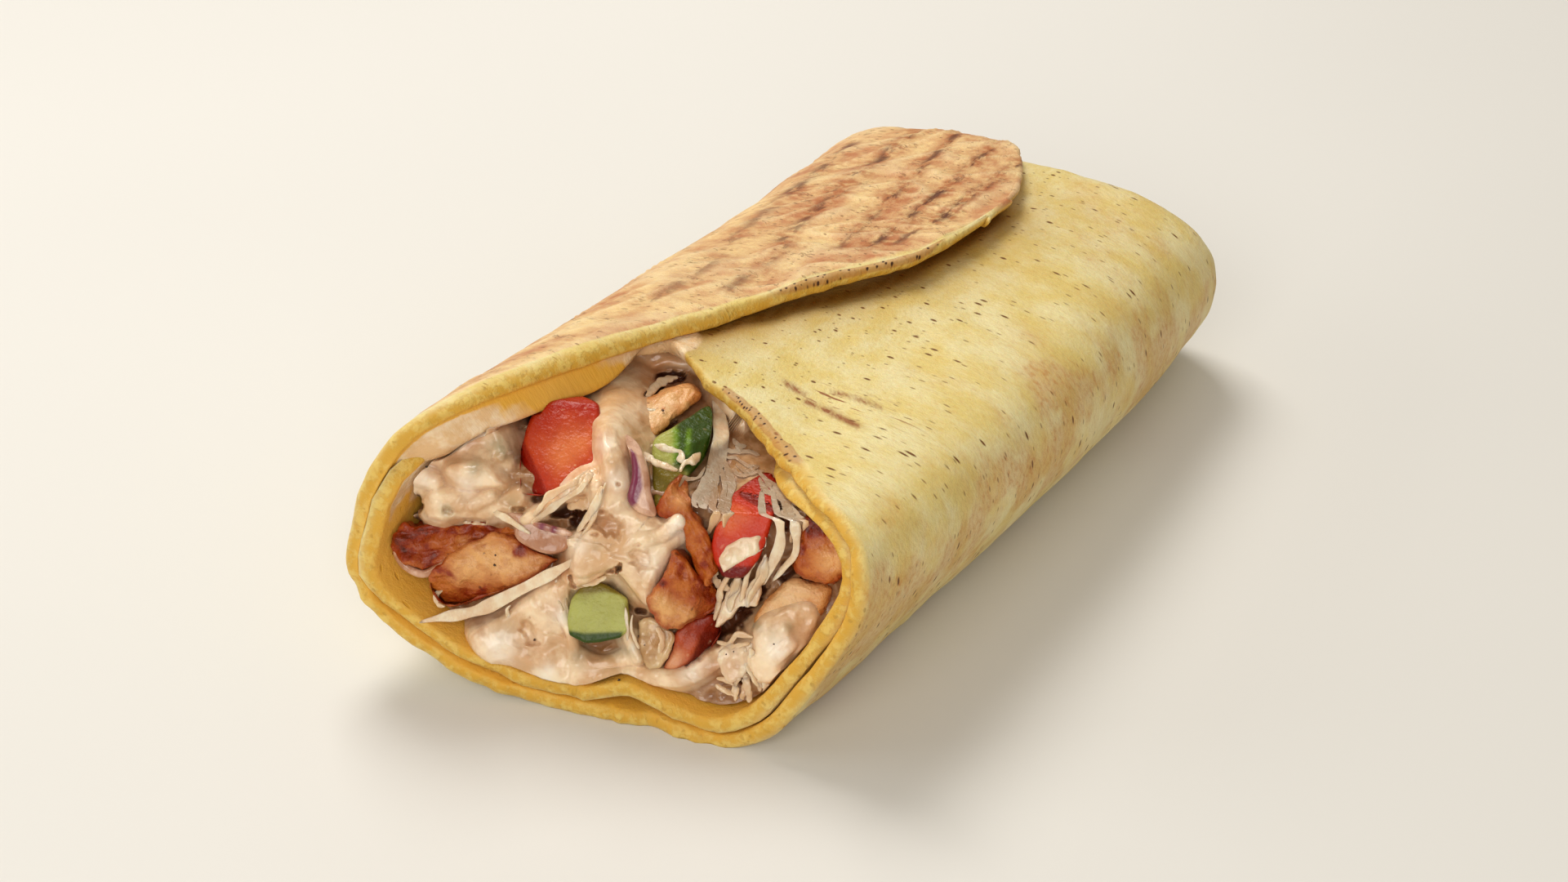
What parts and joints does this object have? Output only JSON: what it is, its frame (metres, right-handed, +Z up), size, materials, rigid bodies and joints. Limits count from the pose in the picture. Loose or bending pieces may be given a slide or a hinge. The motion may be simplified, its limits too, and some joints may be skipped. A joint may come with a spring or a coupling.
{
  "type": "gyro wrap",
  "caption": "Flatbread rolled round grilled chicken, tomato, cucumber, red onion, shredded cabbage and creamy sauce, open at one end and closed at the other.",
  "frame": {"origin": "on the flat underside at mid-length", "axes": "+Z up, +Y along the roll from the open mouth to the closed far end, +X to the side where the loose flap ends"},
  "size_m": [0.107, 0.1942, 0.06],
  "materials": {
    "flatbread": "soft baked flatbread, pale yellow with browned patches",
    "cabbage_heap": "shredded cabbage coated in pink-cream sauce",
    "cabbage": "moist cut cabbage",
    "chicken": "grilled chicken, browned edges",
    "cucumber": "moist cucumber with dark green skin",
    "tomato": "wet cut tomato",
    "onion": "thin moist onion",
    "onion_skin": "dark purple onion",
    "pepper": "yellow-green strip"
  },
  "bodies": {
    "root": {"flatbread": "flatbread", "cabbage_heap": "cabbage_heap", "cabbage_strip_long": "cabbage", "cabbage_strip_upright": "cabbage", "cabbage_piece_front": "cabbage", "cabbage_piece_lower": "cabbage", "cabbage_piece_corner": "cabbage", "chicken_center": "chicken", "chicken_middle": "chicken", "chicken_top": "chicken", "chicken_right": "chicken", "chicken_slab": "chicken", "chicken_left_lower": "chicken", "chicken_left_upper": "chicken", "cucumber_lower": "cucumber", "cucumber_upper": "cucumber", "tomato_left": "tomato", "tomato_right": "tomato", "tomato_lower": "tomato", "onion_upper": "onion", "onion_lower": "onion", "onion_left": "onion", "onion_ring_left": "onion", "onion_right": "onion_skin", "pepper_strip": "pepper"}
  },
  "joints": []
}
